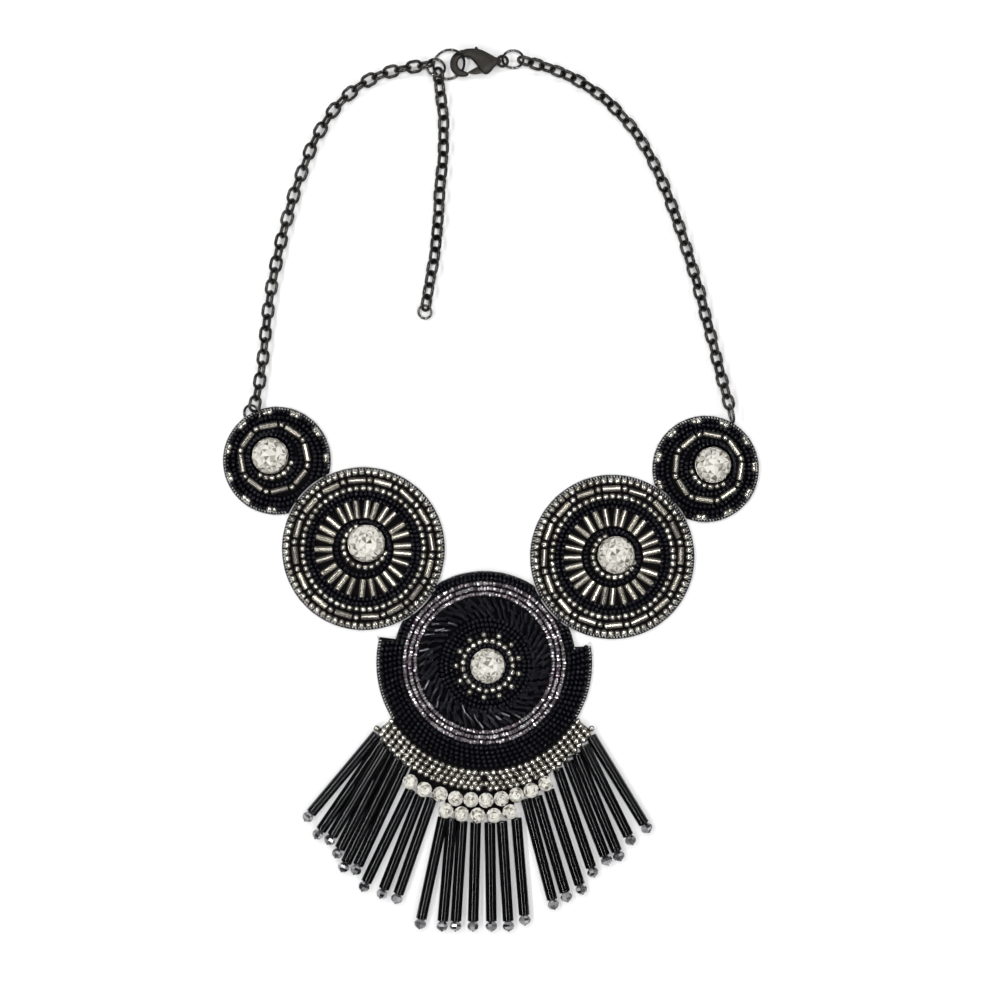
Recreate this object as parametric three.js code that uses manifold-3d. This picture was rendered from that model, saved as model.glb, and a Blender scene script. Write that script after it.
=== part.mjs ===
// Bib necklace: five beaded felt discs with large crystals, a fringe of bugle beads, and a cable chain that
// closes with a lobster clasp. Millimetres, +Z up. The necklace lies on the plane z = 0 with its discs face up.
// The origin is on that plane, under the middle of its outline. +Y runs from the fringe towards the clasp.
import * as THREE from "three";
import { mergeVertices } from "three/addons/utils/BufferGeometryUtils.js";
import Module from "manifold-3d";

const wasm = await Module();
wasm.setup();

// ---------- Driving dimensions ----------

const GAP = 0.3; // kept between pieces that are cut by a neighbour
const FELT_THICKNESS = 1.3;
const BEAD_LAYER = 1.7; // a layer of seed beads
const BEAD_BASE = FELT_THICKNESS + 0.1; // underside of the beads
const FELT_MARGIN = 0.6; // felt that shows outside the beads
const CROWN = 0.45; // how much higher the beads stand at a disc's middle
const RINGSIDE = 32; // straight steps round a disc
const ARC_STEPS = 14; // straight steps along an arc of an outline

// Discs: centre, radius of the felt, and the crystal's centre and radius. The medium discs lie over their neighbours.
const DISCS = [
  { name: "small_left", x: -59.9, y: 8.5, radius: 15.1, stoneX: -61.6, stoneY: 9.8, stoneRadius: 4.75 },
  { name: "medium_left", x: -35.7, y: -16.1, radius: 22.8, stoneX: -34.8, stoneY: -14.6, stoneRadius: 4.9 },
  { name: "centre", x: -1.9, y: -48.0, radius: 25.7, stoneX: -0.9, stoneY: -48.8, stoneRadius: 4.6 },
  { name: "medium_right", x: 33.9, y: -18.4, radius: 23.0, stoneX: 34.9, stoneY: -17.8, stoneRadius: 4.9 },
  { name: "small_right", x: 60.0, y: 6.2, radius: 14.9, stoneX: 61.9, stoneY: 7.3, stoneRadius: 4.7 },
];

// Steps of the centre felt, from the middle outwards: the radius and the angles (degrees, anticlockwise from +X)
// between which the felt reaches it. The last two carry the rhinestone rows.
const CENTRE_STEPS = [
  { radius: 30.2, from: 166, to: 370 },
  { radius: 36.1, from: 211, to: 331 },
  { radius: 39.3, from: 236, to: 299 },
  { radius: 43.3, from: 253.5, to: 282.5 },
];
const COLLAR = { inner: 25.5, outer: 29.7, from: 166.5, to: 369.5 };
const BAND = { inner: 30.0, outer: 35.6, from: 211.5, to: 330.5 };

// Crystal and its claw cup, as heights above the surface
const STONE = { culet: 2.0, girdle: 4.3, girdleTop: 4.6, table: 5.9, tableShare: 0.62, sides: 16 };
const CUP = { rim: 3.9, lip: 0.45, clearance: 0.15, clawCount: 4, clawWidth: 1.0 };

// Rhinestone rows under the band: centres of the small stones
const RHINESTONE_RADIUS = 2.0;
const RHINESTONE_TOP = 4.0;
const ROW_BAR = 0.8; // width and height of the bar that joins the cups
const ROWS = {
  upper: [
    [-22.6, -81.1], [-18.7, -83.2], [-14.2, -84.6], [-9.9, -85.7], [-5.6, -86.2],
    [-1.4, -86.2], [2.9, -85.8], [7.1, -84.9], [11.3, -83.6], [15.3, -81.7],
  ],
  lower: [[-12.6, -89.3], [-8.2, -90.2], [-3.7, -90.6], [0.8, -90.5], [5.3, -89.5]],
};

// Fringe strands: lower end of the bugle, its lean (degrees from +Y, positive when the lower end swings to -X),
// its length, and the height of its upper end
const BUGLE_RADIUS = 1.25;
const END_BEAD_RADIUS = 1.7;
const END_BEAD_REACH = 2.4; // from the bugle's lower end to the far side of the end bead's belt
const STRANDS = [
  { footX: -50.3, footY: -90.0, lean: 39.9, length: 27.6, topZ: 1.5 },
  { footX: -47.6, footY: -94.8, lean: 34.6, length: 27.6, topZ: 1.5 },
  { footX: -44.4, footY: -96.3, lean: 31.0, length: 27.6, topZ: 3.7 },
  { footX: -42.3, footY: -100.0, lean: 27.2, length: 27.9, topZ: 1.5 },
  { footX: -40.6, footY: -103.9, lean: 26.4, length: 27.9, topZ: 1.5 },
  { footX: -37.2, footY: -104.6, lean: 25.0, length: 27.9, topZ: 1.5 },
  { footX: -34.9, footY: -109.3, lean: 25.6, length: 27.6, topZ: 1.5 },
  { footX: -30.0, footY: -111.2, lean: 21.4, length: 27.6, topZ: 1.5 },
  { footX: -25.9, footY: -112.6, lean: 19.3, length: 27.4, topZ: 1.5 },
  { footX: -19.5, footY: -119.6, lean: 12.1, length: 27.6, topZ: 1.5 },
  { footX: -13.5, footY: -120.2, lean: 5.0, length: 27.3, topZ: 1.5 },
  { footX: -9.8, footY: -120.2, lean: 3.6, length: 27.3, topZ: 1.5 },
  { footX: -5.0, footY: -120.2, lean: 1.5, length: 27.2, topZ: 1.5 },
  { footX: 0.1, footY: -120.2, lean: -0.9, length: 27.2, topZ: 1.5 },
  { footX: 4.8, footY: -120.2, lean: -3.6, length: 27.3, topZ: 1.5 },
  { footX: 9.3, footY: -118.5, lean: -4.7, length: 26.6, topZ: 1.5 },
  { footX: 17.1, footY: -114.2, lean: -14.7, length: 27.4, topZ: 1.5 },
  { footX: 20.7, footY: -112.1, lean: -16.4, length: 26.8, topZ: 1.5 },
  { footX: 24.8, footY: -110.0, lean: -18.0, length: 27.4, topZ: 1.5 },
  { footX: 28.0, footY: -105.2, lean: -18.8, length: 27.6, topZ: 1.5 },
  { footX: 31.8, footY: -101.9, lean: -21.3, length: 27.4, topZ: 1.5 },
  { footX: 35.2, footY: -100.7, lean: -22.3, length: 27.9, topZ: 1.5 },
  { footX: 38.4, footY: -96.3, lean: -26.2, length: 27.4, topZ: 2.6 },
  { footX: 42.8, footY: -93.0, lean: -31.3, length: 27.6, topZ: 1.5 },
];

// Chains: the middle of each chain's route, its number of links, and the two rolls that its links take in turn.
// A route point without a height lies at CHAIN_HEIGHT; the end links rise or sink to the rings that they hold.
const LINK_HALF_WIDTH = 1.5; // middle of the wire
const LINK_WIRE = 0.4; // radius
const LINK_STEPS = 6; // straight steps round a link
const LINK_OVERLAP = 0.22; // neighbours are sunk this far into each other, so that a chain is one solid
const CHAIN_HEIGHT = 1.9;
const CHAINS = [
  {
    name: "chain_left",
    links: 36,
    rolls: [28, -76],
    route: [
      [-65.9, 24.35, 2.8], [-64.6, 31.0], [-63.7, 37.5], [-63.0, 44.4], [-62.2, 51.3], [-61.2, 57.9],
      [-59.9, 64.4], [-58.4, 71.0], [-56.6, 77.5], [-54.8, 83.8], [-52.5, 90.0], [-50.0, 96.5], [-46.8, 102.3],
      [-43.3, 107.3], [-38.4, 112.0], [-33.0, 115.4], [-26.6, 117.6], [-18.2, 119.1, 2.26],
    ],
  },
  {
    name: "chain_right",
    links: 38,
    rolls: [78, -28],
    route: [
      [9.62, 120.12, 2.35], [16.8, 118.0], [23.0, 115.4], [28.0, 112.3], [31.8, 109.6], [36.2, 105.2],
      [40.0, 100.8], [42.6, 96.8], [45.4, 91.7], [48.2, 85.6], [51.4, 77.3], [53.8, 70.3], [56.0, 63.2],
      [58.0, 56.6], [60.3, 47.6], [62.2, 40.6], [63.8, 34.0], [66.3, 24.9, 2.55],
    ],
  },
  {
    name: "extender_chain",
    links: 20,
    rolls: [40, -47],
    route: [
      [-14.7, 116.0, 2.34], [-14.0, 110.0], [-13.3, 104.5], [-13.3, 98.5], [-13.4, 93.6], [-13.9, 88.6],
      [-14.4, 83.5], [-14.6, 78.3], [-15.1, 72.4], [-15.8, 65.7], [-16.8, 60.2], [-18.1, 52.65, 1.6],
    ],
  },
];

// Wire rings: centre, radius of the wire's middle line, wire radius, and the plane, which rises by the tilt towards
// the direction that the turn gives (degrees from +X)
const RINGS = [
  { name: "ring_left", x: -66.8, y: 21.45, z: 1.9, radius: 2.6, wire: 0.38, turn: 27, tilt: 34 },
  { name: "ring_right", x: 67.05, y: 21.65, z: 2.9, radius: 2.45, wire: 0.38, turn: 13, tilt: 81 },
  { name: "ring_extender_end", x: -18.5, y: 50.1, z: 1.2, radius: 1.85, wire: 0.36, turn: 58, tilt: 20 },
  { name: "ring_clasp", x: 6.15, y: 120.6, z: 2.45, radius: 2.92, wire: 0.36, turn: 90, tilt: 42 },
  { name: "ring_large", x: -11.75, y: 119.1, z: 2.85, radius: 4.4, wire: 0.38, turn: 113.5, tilt: 34 },
  { name: "ring_connector", x: -15.4, y: 118.4, z: 2.15, radius: 2.57, wire: 0.36, turn: -124, tilt: 25 },
];
const RING_SIDES = 6;
const RING_STEPS = 16;

// Lobster clasp: half thicknesses, the plane that it lies in, and its pivot
const CLASP_HEIGHT = 2.1;
const CLASP = { hookHalf: 0.64, bodyHalf: 1.6, slotHalf: 0.75, leverHalf: 0.5, bevel: 0.25 };
const PIVOT = { x: -2.0, y: 117.9, bossRadius: 1.1 };
const TAIL = { x: 3.2, y: 120.1, outer: 1.8, hole: 1.05, half: 0.5 };
const LEVER_OPEN = 30; // degrees

// ---------- Finishes ----------

const finish = (color, roughness, metalness) => new THREE.MeshStandardMaterial({ color, roughness, metalness });
const feltFinish = () => finish("#cfccc6", 0.95, 0);
const beadFinish = () => finish("#17171c", 0.25, 0.1);
const pewterFinish = () => finish("#8d8678", 0.35, 0.7);
const crystalFinish = () => finish("#e9e6da", 0.05, 0);
const gunmetalFinish = () => finish("#2f2d2c", 0.35, 0.9);
const silverFinish = () => finish("#c9c7c2", 0.3, 0.9);

// ---------- Helpers ----------

const necklace = new THREE.Group();
const radians = THREE.MathUtils.degToRad;

function addPiece(name, geometry, material) {
  const mesh = new THREE.Mesh(geometry, material);
  mesh.name = name;
  necklace.add(mesh);
  return mesh;
}

// A closed geometry as a solid for joining and cutting
function toSolid(geometry) {
  const bare = geometry.index ? geometry.toNonIndexed() : geometry.clone();
  bare.deleteAttribute("normal");
  bare.deleteAttribute("uv");
  const merged = mergeVertices(bare, 1e-4);
  return new wasm.Manifold(new wasm.Mesh({
    numProp: 3,
    vertProperties: new Float32Array(merged.attributes.position.array),
    triVerts: new Uint32Array(merged.index.array),
  }));
}

function toGeometry(solid) {
  const { numProp, vertProperties, triVerts } = solid.getMesh();
  if (numProp !== 3) throw new Error("a solid should hold positions only");
  const geometry = new THREE.BufferGeometry();
  geometry.setAttribute("position", new THREE.BufferAttribute(vertProperties, 3));
  geometry.setIndex(new THREE.BufferAttribute(triVerts, 1));
  return geometry;
}

const join = (geometries) => geometries.map(toSolid).reduce((sum, next) => sum.add(next));

// A lathe about +Z from [radius, height] points
function latheUp(points, sides) {
  const profile = points.map(([radius, height]) => new THREE.Vector2(radius, height));
  return new THREE.LatheGeometry(profile, sides).rotateX(Math.PI / 2);
}

// An upright round post, for cutting
function post(x, y, radius, low, high, sides = RINGSIDE) {
  const column = new THREE.CylinderGeometry(radius, radius, high - low, sides).rotateX(Math.PI / 2);
  return toSolid(column.translate(x, y, (low + high) / 2));
}

function slab(shape, low, high, options = {}) {
  const settings = { depth: high - low, bevelEnabled: false, curveSegments: ARC_STEPS, ...options };
  return new THREE.ExtrudeGeometry(shape, settings).translate(0, 0, low);
}

// A flat ring sector about (x, y), between two angles in degrees
function sector(x, y, { inner, outer, from, to }) {
  const shape = new THREE.Shape();
  shape.absarc(x, y, outer, radians(from), radians(to), false);
  shape.absarc(x, y, inner, radians(to), radians(from), true);
  shape.closePath();
  return shape;
}

// The torus of one wire ring. Its plane rises by the tilt towards the direction that the turn gives.
function ringTorus({ x, y, z, radius, wire, turn, tilt }, extra = 0) {
  const torus = new THREE.TorusGeometry(radius, wire + extra, RING_SIDES, RING_STEPS);
  torus.rotateZ(Math.PI / RING_STEPS);
  torus.rotateY(-radians(tilt)).rotateZ(radians(turn));
  return torus.translate(x, y, z);
}

// ---------- Discs ----------

const disc = Object.fromEntries(DISCS.map((entry) => [entry.name, entry]));
const coverings = [disc.medium_left, disc.medium_right]; // these lie over the other discs
const sewnRings = RINGS.filter(({ name }) => name === "ring_left" || name === "ring_right");

// Takes away what the medium discs cover and the room that the sewn rings need
function trimmed(solid, self) {
  let cut = solid;
  for (const over of coverings) {
    if (over !== self) cut = cut.subtract(post(over.x, over.y, over.radius + GAP, -1, 9));
  }
  for (const ring of sewnRings) cut = cut.subtract(toSolid(ringTorus(ring, GAP)));
  return cut;
}

function feltSolid(entry) {
  let felt = post(entry.x, entry.y, entry.radius, 0, FELT_THICKNESS);
  if (entry !== disc.centre) return felt;
  for (const { radius, from, to } of CENTRE_STEPS) {
    const step = sector(entry.x, entry.y, { inner: entry.radius - 6, outer: radius, from, to });
    felt = felt.add(toSolid(slab(step, 0, FELT_THICKNESS)));
  }
  return felt;
}

// The beads of a disc as one low dome, open in the middle for the crystal's cup
function beadworkSolid(entry) {
  const edge = entry.radius - FELT_MARGIN;
  const top = BEAD_BASE + BEAD_LAYER;
  const dome = latheUp([
    [0, BEAD_BASE], [edge, BEAD_BASE], [edge, top - 0.5], [edge - 0.5, top],
    [edge * 0.6, top + CROWN * 0.65], [0, top + CROWN],
  ], RINGSIDE);
  const opening = entry.stoneRadius + CUP.lip + 0.4;
  return toSolid(dome.translate(entry.x, entry.y, 0))
    .subtract(post(entry.stoneX, entry.stoneY, opening, 0, 9, 24));
}

function crystalGeometry(radius) {
  const table = radius * STONE.tableShare;
  return latheUp([
    [0, STONE.culet], [radius, STONE.girdle], [radius, STONE.girdleTop], [table, STONE.table], [0, STONE.table],
  ], STONE.sides);
}

// A cone-seated cup with claws that lean over the crystal's girdle
function cupSolid(radius) {
  const seat = BEAD_BASE + 0.25;
  const rimOuter = radius + CUP.lip;
  const foot = radius * 0.55;
  const bowl = latheUp([
    [0, BEAD_BASE], [foot, BEAD_BASE], [radius - 0.1, CUP.rim - 0.6], [rimOuter, CUP.rim - 0.3],
    [rimOuter, CUP.rim], [radius - 0.1, CUP.rim], [0, seat],
  ], STONE.sides);
  const near = radius + CUP.clearance;
  const claw = new THREE.Shape([
    [near, CUP.rim - 0.2], [rimOuter, CUP.rim - 0.2], [rimOuter, 4.95], [radius - 0.45, 5.65],
    [radius - 0.55, 5.3], [near, 4.85],
  ].map(([out, up]) => new THREE.Vector2(out, up)));
  const parts = [bowl];
  for (let index = 0; index < CUP.clawCount; index += 1) {
    const blade = new THREE.ExtrudeGeometry(claw, { depth: CUP.clawWidth, bevelEnabled: false });
    blade.translate(0, 0, -CUP.clawWidth / 2).rotateX(Math.PI / 2);
    parts.push(blade.rotateZ(((index + 0.5) / CUP.clawCount) * Math.PI * 2));
  }
  return join(parts);
}

for (const entry of DISCS) {
  const { name, stoneX, stoneY, stoneRadius } = entry;
  addPiece(`felt_${name}`, toGeometry(trimmed(feltSolid(entry), entry)), feltFinish());
  addPiece(`beadwork_${name}`, toGeometry(trimmed(beadworkSolid(entry), entry)), beadFinish());
  addPiece(`setting_${name}`, toGeometry(cupSolid(stoneRadius)), silverFinish()).position.set(stoneX, stoneY, 0);
  addPiece(`crystal_${name}`, crystalGeometry(stoneRadius), crystalFinish()).position.set(stoneX, stoneY, 0);
}

const centre = disc.centre;
const layerTop = BEAD_BASE + BEAD_LAYER;
addPiece("collar_beadwork", slab(sector(centre.x, centre.y, COLLAR), BEAD_BASE, layerTop), beadFinish());
addPiece("band_beadwork", slab(sector(centre.x, centre.y, BAND), BEAD_BASE, layerTop), pewterFinish());

// ---------- Rhinestone rows ----------

// One small stone in its cup, on the felt
function rhinestone([x, y]) {
  const edge = RHINESTONE_RADIUS;
  const girdle = RHINESTONE_TOP - 0.8;
  return latheUp([
    [0, BEAD_BASE], [edge * 0.9, BEAD_BASE], [edge, girdle], [edge * 0.6, RHINESTONE_TOP], [0, RHINESTONE_TOP],
  ], 10).translate(x, y, 0);
}

// The bar between two neighbouring cups
function rowBar([fromX, fromY], [toX, toY]) {
  const bar = new THREE.BoxGeometry(Math.hypot(toX - fromX, toY - fromY), ROW_BAR, ROW_BAR);
  bar.rotateZ(Math.atan2(toY - fromY, toX - fromX));
  return bar.translate((fromX + toX) / 2, (fromY + toY) / 2, BEAD_BASE + ROW_BAR / 2);
}

for (const [name, centres] of Object.entries(ROWS)) {
  const bars = centres.slice(1).map((next, index) => rowBar(centres[index], next));
  addPiece(`rhinestones_${name}`, toGeometry(join([...centres.map(rhinestone), ...bars])), crystalFinish());
}

// ---------- Fringe ----------

// A bugle along +Y from its lower end at the origin, with the end bead and the tip bead below it
function strandGeometry(length) {
  const profile = [
    [0, -4.4], [0.6, -3.6], [END_BEAD_RADIUS, -END_BEAD_REACH], [END_BEAD_RADIUS, -1.2], [BUGLE_RADIUS, 0],
    [BUGLE_RADIUS, length], [0, length],
  ];
  return new THREE.LatheGeometry(profile.map(([out, along]) => new THREE.Vector2(out, along)), 8);
}

STRANDS.forEach(({ footX, footY, lean, length, topZ }, index) => {
  const rise = (topZ - END_BEAD_RADIUS) / length;
  const footZ = END_BEAD_RADIUS + 0.05 + Math.max(0, rise * END_BEAD_REACH);
  const name = `strand_${String(index + 1).padStart(2, "0")}`;
  const strand = addPiece(name, strandGeometry(length), beadFinish());
  const towards = new THREE.Vector3(Math.sin(radians(lean)), Math.cos(radians(lean)), rise).normalize();
  strand.position.set(footX, footY, footZ);
  strand.quaternion.setFromUnitVectors(new THREE.Vector3(0, 1, 0), towards);
});

// ---------- Chains ----------

// One long link about the origin, along +X: a six-sided ring whose ends are drawn apart
function linkGeometry(pitch) {
  const halfStep = Math.PI / LINK_STEPS;
  const endReach = (pitch + 2 * LINK_WIRE * Math.cos(halfStep) - LINK_OVERLAP) / 2;
  const drawn = endReach - LINK_HALF_WIDTH * Math.cos(halfStep);
  const link = new THREE.TorusGeometry(LINK_HALF_WIDTH, LINK_WIRE, 4, LINK_STEPS).rotateZ(halfStep);
  const { position } = link.attributes;
  for (let index = 0; index < position.count; index += 1) {
    const x = position.getX(index);
    if (Math.abs(x) > LINK_WIRE) position.setX(index, x + Math.sign(x) * drawn);
  }
  return link;
}

function chainSolid({ route, rolls, links }) {
  const path = new THREE.CatmullRomCurve3(route.map(([x, y, z = CHAIN_HEIGHT]) => new THREE.Vector3(x, y, z)));
  path.arcLengthDivisions = 2000;
  const pitch = path.getLength() / (links - 1);
  const row = [];
  for (let index = 0; index < links; index += 1) {
    const share = index / (links - 1);
    const along = path.getTangentAt(share);
    const link = linkGeometry(pitch).rotateX(radians(rolls[index % rolls.length]));
    link.rotateY(-Math.asin(along.z)).rotateZ(Math.atan2(along.y, along.x));
    row.push(link.translate(...path.getPointAt(share).toArray()));
  }
  return join(row);
}

for (const chain of CHAINS) addPiece(chain.name, toGeometry(chainSolid(chain)), gunmetalFinish());
for (const ring of RINGS) addPiece(ring.name, ringTorus(ring), gunmetalFinish());

// ---------- Lobster clasp ----------

// A rounded plate from an outline, as thick as twice the half thickness, about the clasp's plane
function plate(outline, half) {
  const shape = new THREE.Shape();
  outline.forEach(([x, y], index) => (index ? shape.lineTo(x, y) : shape.moveTo(x, y)));
  const low = CLASP_HEIGHT - half;
  const { bevel } = CLASP;
  const options = { bevelEnabled: true, bevelThickness: bevel, bevelSize: bevel, bevelSegments: 1, bevelOffset: -bevel };
  return slab(shape, low, CLASP_HEIGHT + half - 2 * bevel, options).translate(0, 0, bevel);
}

// The curved hook, from its root in the body round to its tip
const hookOutline = [
  [-6.6, 116.2], [-6.7, 117.0], [-7.9, 117.55], [-9.0, 118.3], [-9.4, 119.5], [-8.9, 120.7], [-7.6, 121.2],
  [-5.4, 121.0], [-4.0, 122.6], [-6.6, 123.4], [-9.0, 123.0], [-10.75, 121.6], [-11.5, 119.6], [-11.1, 117.6],
  [-9.7, 116.1], [-7.9, 115.75],
];

// The thick body, from the hook's root to the neck of the tail eye
const bodyOutline = [
  [-7.6, 121.3], [-5.3, 120.6], [-4.2, 119.4], [-3.3, 118.0], [-2.7, 116.9], [-1.3, 116.55], [-0.2, 117.2],
  [0.9, 118.6], [2.0, 119.4], [2.0, 120.8], [1.0, 121.15], [-0.9, 122.3], [-2.9, 123.25], [-4.9, 123.55],
  [-7.2, 123.35], [-8.2, 122.4],
];

// The lever: the gate up to the hook's tip, the boss at the pivot, and the arm to the thumb tab
const leverOutline = [
  [-6.3, 116.75], [-6.15, 117.25], [-3.4, 118.7], [-3.1, 119.6], [-4.3, 122.6], [-4.9, 124.0], [-3.9, 124.35],
  [-3.2, 123.2], [-1.9, 119.6], [-1.1, 118.5], [-1.2, 117.3], [-2.3, 116.95], [-4.3, 116.55],
];

// The room that the lever sweeps inside the body, open at the gate and at the thumb tab
function leverRoom() {
  let room = null;
  for (const turn of [0, 0.25, 0.5, 0.75, 1, 1.15]) {
    const grown = plate(leverOutline, CLASP.slotHalf);
    grown.translate(-PIVOT.x, -PIVOT.y, 0).scale(1.08, 1.08, 1).rotateZ(-radians(LEVER_OPEN * turn));
    const swept = toSolid(grown.translate(PIVOT.x, PIVOT.y, 0));
    room = room ? room.add(swept) : swept;
  }
  return room;
}

function claspBodySolid() {
  const { half } = TAIL;
  const eye = latheUp([
    [TAIL.hole, -half * 0.6], [TAIL.outer - 0.3, -half], [TAIL.outer, 0], [TAIL.outer - 0.3, half],
    [TAIL.hole, half * 0.6], [TAIL.hole, -half * 0.6],
  ], 16).translate(TAIL.x, TAIL.y, CLASP_HEIGHT);
  const body = toSolid(plate(bodyOutline, CLASP.bodyHalf)).subtract(post(TAIL.x, TAIL.y, TAIL.hole + 0.2, 0, 9, 16));
  return body.add(toSolid(plate(hookOutline, CLASP.hookHalf))).subtract(leverRoom()).add(toSolid(eye));
}

addPiece("clasp_body", toGeometry(claspBodySolid()), gunmetalFinish());
addPiece("clasp_lever", plate(leverOutline, CLASP.leverHalf), gunmetalFinish());

export default necklace;
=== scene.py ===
# %% [markdown]
# # A beaded bib necklace, built around its CAD frame
# Five felt discs carry embroidered beads and large crystals, a fringe of glass tubes hangs from the middle
# one, and a cable chain closes with a lobster clasp. The frame fixes the axes, the outline and the bodies,
# and the tables below follow it in millimetres. Each cell makes one kind of piece, from the felt to the clasp.

# %% Load the frame
import math
import random

import bmesh
import bpy
import numpy as np
from mathutils import Matrix, Vector


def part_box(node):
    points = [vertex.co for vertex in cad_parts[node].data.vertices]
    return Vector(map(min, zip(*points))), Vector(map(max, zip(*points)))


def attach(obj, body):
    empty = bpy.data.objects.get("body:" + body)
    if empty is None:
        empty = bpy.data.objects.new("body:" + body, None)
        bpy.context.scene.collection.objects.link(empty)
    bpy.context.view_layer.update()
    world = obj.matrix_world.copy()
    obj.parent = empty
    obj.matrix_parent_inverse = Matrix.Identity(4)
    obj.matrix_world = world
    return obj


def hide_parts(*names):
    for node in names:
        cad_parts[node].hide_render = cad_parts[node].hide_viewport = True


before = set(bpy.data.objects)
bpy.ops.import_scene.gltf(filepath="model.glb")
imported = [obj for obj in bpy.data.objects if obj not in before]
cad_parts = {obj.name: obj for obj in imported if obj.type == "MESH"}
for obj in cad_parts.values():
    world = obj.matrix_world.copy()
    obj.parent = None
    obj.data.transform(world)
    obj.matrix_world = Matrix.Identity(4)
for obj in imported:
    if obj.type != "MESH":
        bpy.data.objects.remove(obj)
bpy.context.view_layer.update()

# %% [markdown]
# The camera looks straight down on a necklace that lies on a table, from a little under a metre, as a
# product shot is taken. A long lens keeps the discs round. Beads are small mirrors, so each lamp shows in
# each bead as one bright speck. Four long narrow strips round the table and one small panel above keep
# those specks small, and the strips' length softens the shadows. A dim sky fills the rest without turning
# the black beads grey.

# %% Camera and lights
SCALE = 0.001  # the tables below are in millimetres
CAMERA_PLACE = (0.0025, -0.0025, 0.9)
LENS = 115.7


def add_object(name, data, location=(0, 0, 0)):
    made = bpy.data.objects.new(name, data)
    made.location = location
    bpy.context.scene.collection.objects.link(made)
    return made


camera_data = bpy.data.cameras.new("camera")
camera_data.lens = LENS
camera_data.sensor_width = 36
bpy.context.scene.camera = add_object("camera", camera_data, CAMERA_PLACE)

PANELS = [  # name, place, width, height, watts
    ("strip_left", (-0.66, 0.0, 1.15), 0.04, 1.9, 11.5),
    ("strip_right", (0.74, 0.0, 1.15), 0.04, 1.9, 6.0),
    ("strip_top", (0.0, 0.7, 1.15), 1.2, 0.06, 5.0),
    ("strip_low", (0.0, -0.8, 1.15), 1.2, 0.06, 4.0),
    ("panel_overhead", (0.06, 0.1, 1.35), 0.1, 0.1, 7.0),
]
for name, place, width, height, watts in PANELS:
    light = bpy.data.lights.new(name, "AREA")
    light.shape = "RECTANGLE"
    light.size = width
    light.size_y = height
    light.energy = watts
    add_object(name, light, place)

world = bpy.data.worlds.new("studio")
world.use_nodes = True
sky = world.node_tree.nodes["Background"].inputs
sky["Color"].default_value = (0.97, 0.98, 1.0, 1)
sky["Strength"].default_value = 0.04
bpy.context.scene.world = world
bpy.context.scene.view_settings.view_transform = "Standard"
print("lights:", [panel[0] for panel in PANELS])

# %% [markdown]
# Two effects turn up in nearly every finish. In the first, no two beads are quite alike: each copy carries
# a random number, its tint, and the group mixes two colours by it. On cut stones and faceted beads the number
# is given to each facet, and the two colours are painted glints and painted dark reflections. In the second,
# no surface is evenly polished: a noise pattern moves the roughness between two values and gives a height for
# a bump. Each is a node group, built once.

# %% Node groups for tint and grain
def new_group(name, inputs, outputs):
    group = bpy.data.node_groups.new(name, "ShaderNodeTree")
    for kind, label, value in inputs:
        socket = group.interface.new_socket(label, in_out="INPUT", socket_type=kind)
        socket.default_value = value
    for kind, label in outputs:
        group.interface.new_socket(label, in_out="OUTPUT", socket_type=kind)
    return group, group.nodes.new("NodeGroupInput"), group.nodes.new("NodeGroupOutput")


def join(group, *pairs):
    for output, socket in pairs:
        group.links.new(output, socket)


COLOUR, NUMBER = "NodeSocketColor", "NodeSocketFloat"
tint_group, tint_in, tint_out = new_group(
    "piece_tint_and_painted_facets",
    [(COLOUR, "Colour", (0, 0, 0, 1)), (COLOUR, "Other colour", (1, 1, 1, 1))],
    [(COLOUR, "Colour")],
)
tint = tint_group.nodes.new("ShaderNodeAttribute")
tint.attribute_name = "tint"
tint_mix = tint_group.nodes.new("ShaderNodeMix")
tint_mix.data_type = "RGBA"
join(
    tint_group,
    (tint.outputs["Fac"], tint_mix.inputs["Factor"]),
    (tint_in.outputs["Colour"], tint_mix.inputs["A"]),
    (tint_in.outputs["Other colour"], tint_mix.inputs["B"]),
    (tint_mix.outputs["Result"], tint_out.inputs["Colour"]),
)

grain_group, grain_in, grain_out = new_group(
    "grain",
    [(NUMBER, "Scale", 900.0), (NUMBER, "Low", 0.1), (NUMBER, "High", 0.3)],
    [(NUMBER, "Value"), (NUMBER, "Height")],
)
grain_place = grain_group.nodes.new("ShaderNodeTexCoord")
grain_noise = grain_group.nodes.new("ShaderNodeTexNoise")
grain_noise.inputs["Detail"].default_value = 4
grain_range = grain_group.nodes.new("ShaderNodeMapRange")
grain_range.inputs["From Min"].default_value = 0.3
grain_range.inputs["From Max"].default_value = 0.7
join(
    grain_group,
    (grain_place.outputs["Object"], grain_noise.inputs["Vector"]),
    (grain_in.outputs["Scale"], grain_noise.inputs["Scale"]),
    (grain_noise.outputs["Fac"], grain_range.inputs["Value"]),
    (grain_in.outputs["Low"], grain_range.inputs["To Min"]),
    (grain_in.outputs["High"], grain_range.inputs["To Max"]),
    (grain_range.outputs["Result"], grain_out.inputs["Value"]),
    (grain_noise.outputs["Fac"], grain_out.inputs["Height"]),
)
print("node groups:", tint_group.name, grain_group.name)

# %% [markdown]
# A finish is then a short recipe: two colours for the tint, a range of roughness at a scale, a bump depth,
# and the plain numbers of the shader. Black glass is a dark body under a sharp gloss. Pewter glass is lined
# with metal, so most of its light comes back coloured. Felt scatters and has no gloss.

# %% Finishes
def use_group(material, group, **values):
    node = material.node_tree.nodes.new("ShaderNodeGroup")
    node.node_tree = group
    for label, value in values.items():
        node.inputs[label.replace("_", " ")].default_value = value
    return node


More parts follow.
